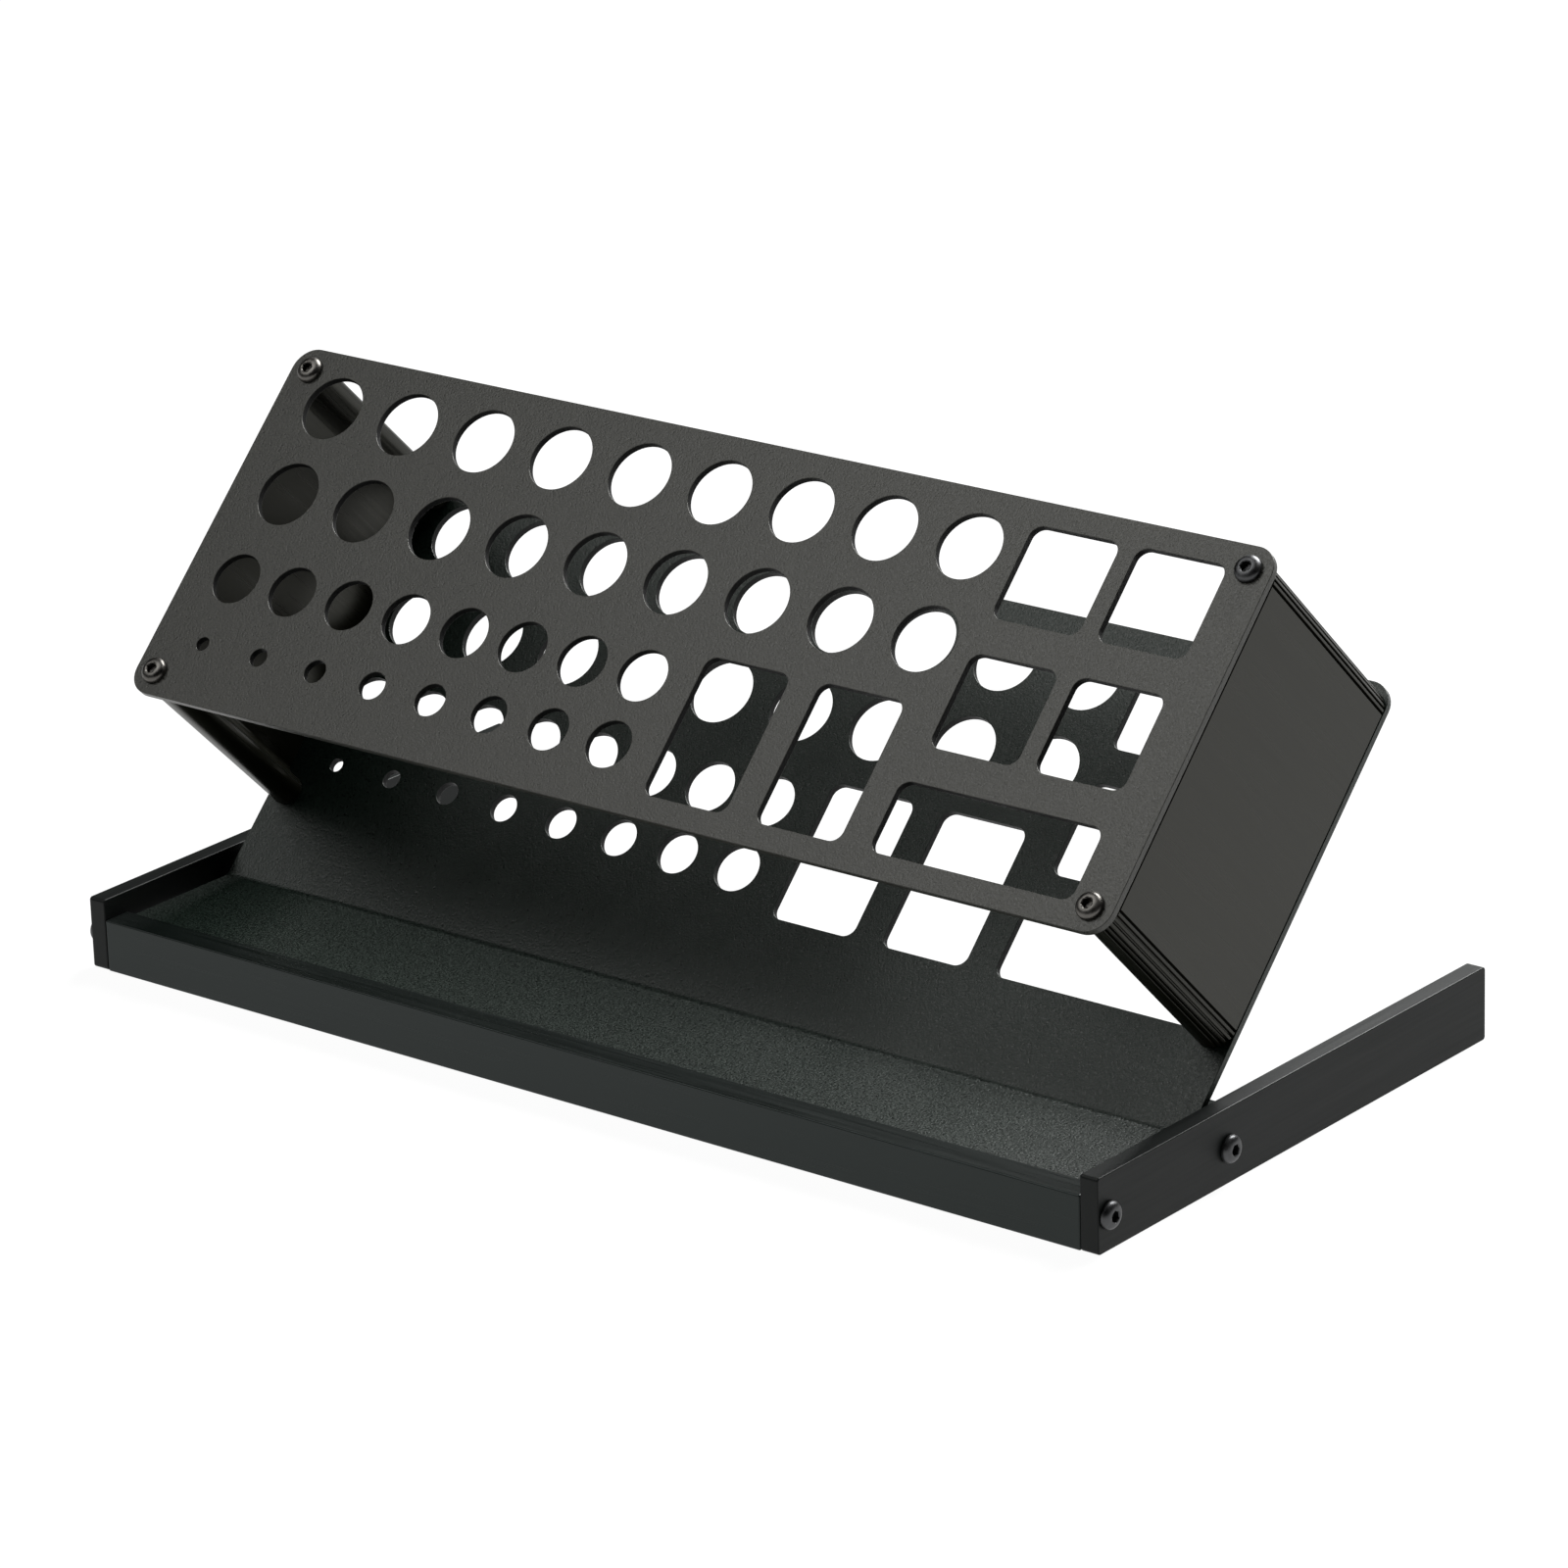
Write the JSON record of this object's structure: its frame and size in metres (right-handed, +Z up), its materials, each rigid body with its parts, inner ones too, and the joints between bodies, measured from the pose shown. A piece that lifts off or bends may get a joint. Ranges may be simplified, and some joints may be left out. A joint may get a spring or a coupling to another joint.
{
  "type": "salon tool station",
  "caption": "Desktop salon tool station: perforated plates lean back between end panels above a shallow bent-sheet tray on side rails.",
  "frame": {"origin": "bottom centre of the whole station, on the table between the side rails", "axes": "+X along the station to the user's right, +Y away from the user, +Z up"},
  "size_m": [0.2532, 0.125, 0.114],
  "materials": {
    "plate": "fine black powder coat, satin",
    "sheet": "fine black powder coat, satin",
    "panel": "black anodised extrusion, satin",
    "rail": "black anodised flat bar, satin",
    "bar": "black anodised extrusion, satin",
    "screw": "burnished dark steel"
  },
  "bodies": {
    "root": {"front_plate": "plate", "rear_sheet": "sheet", "end_panel_left": "panel", "end_panel_right": "panel", "side_rail_left": "rail", "side_rail_right": "rail", "front_rail": "bar", "cross_bar": "bar", "front_screw_upper_left": "screw", "front_screw_upper_right": "screw", "front_screw_lower_left": "screw", "front_screw_lower_right": "screw", "rear_screw_upper_left": "screw", "rear_screw_upper_right": "screw", "rear_screw_lower_left": "screw", "rear_screw_lower_right": "screw", "rail_screw_left_front": "screw", "rail_screw_left_rear": "screw", "rail_screw_right_front": "screw", "rail_screw_right_rear": "screw"}
  },
  "joints": []
}
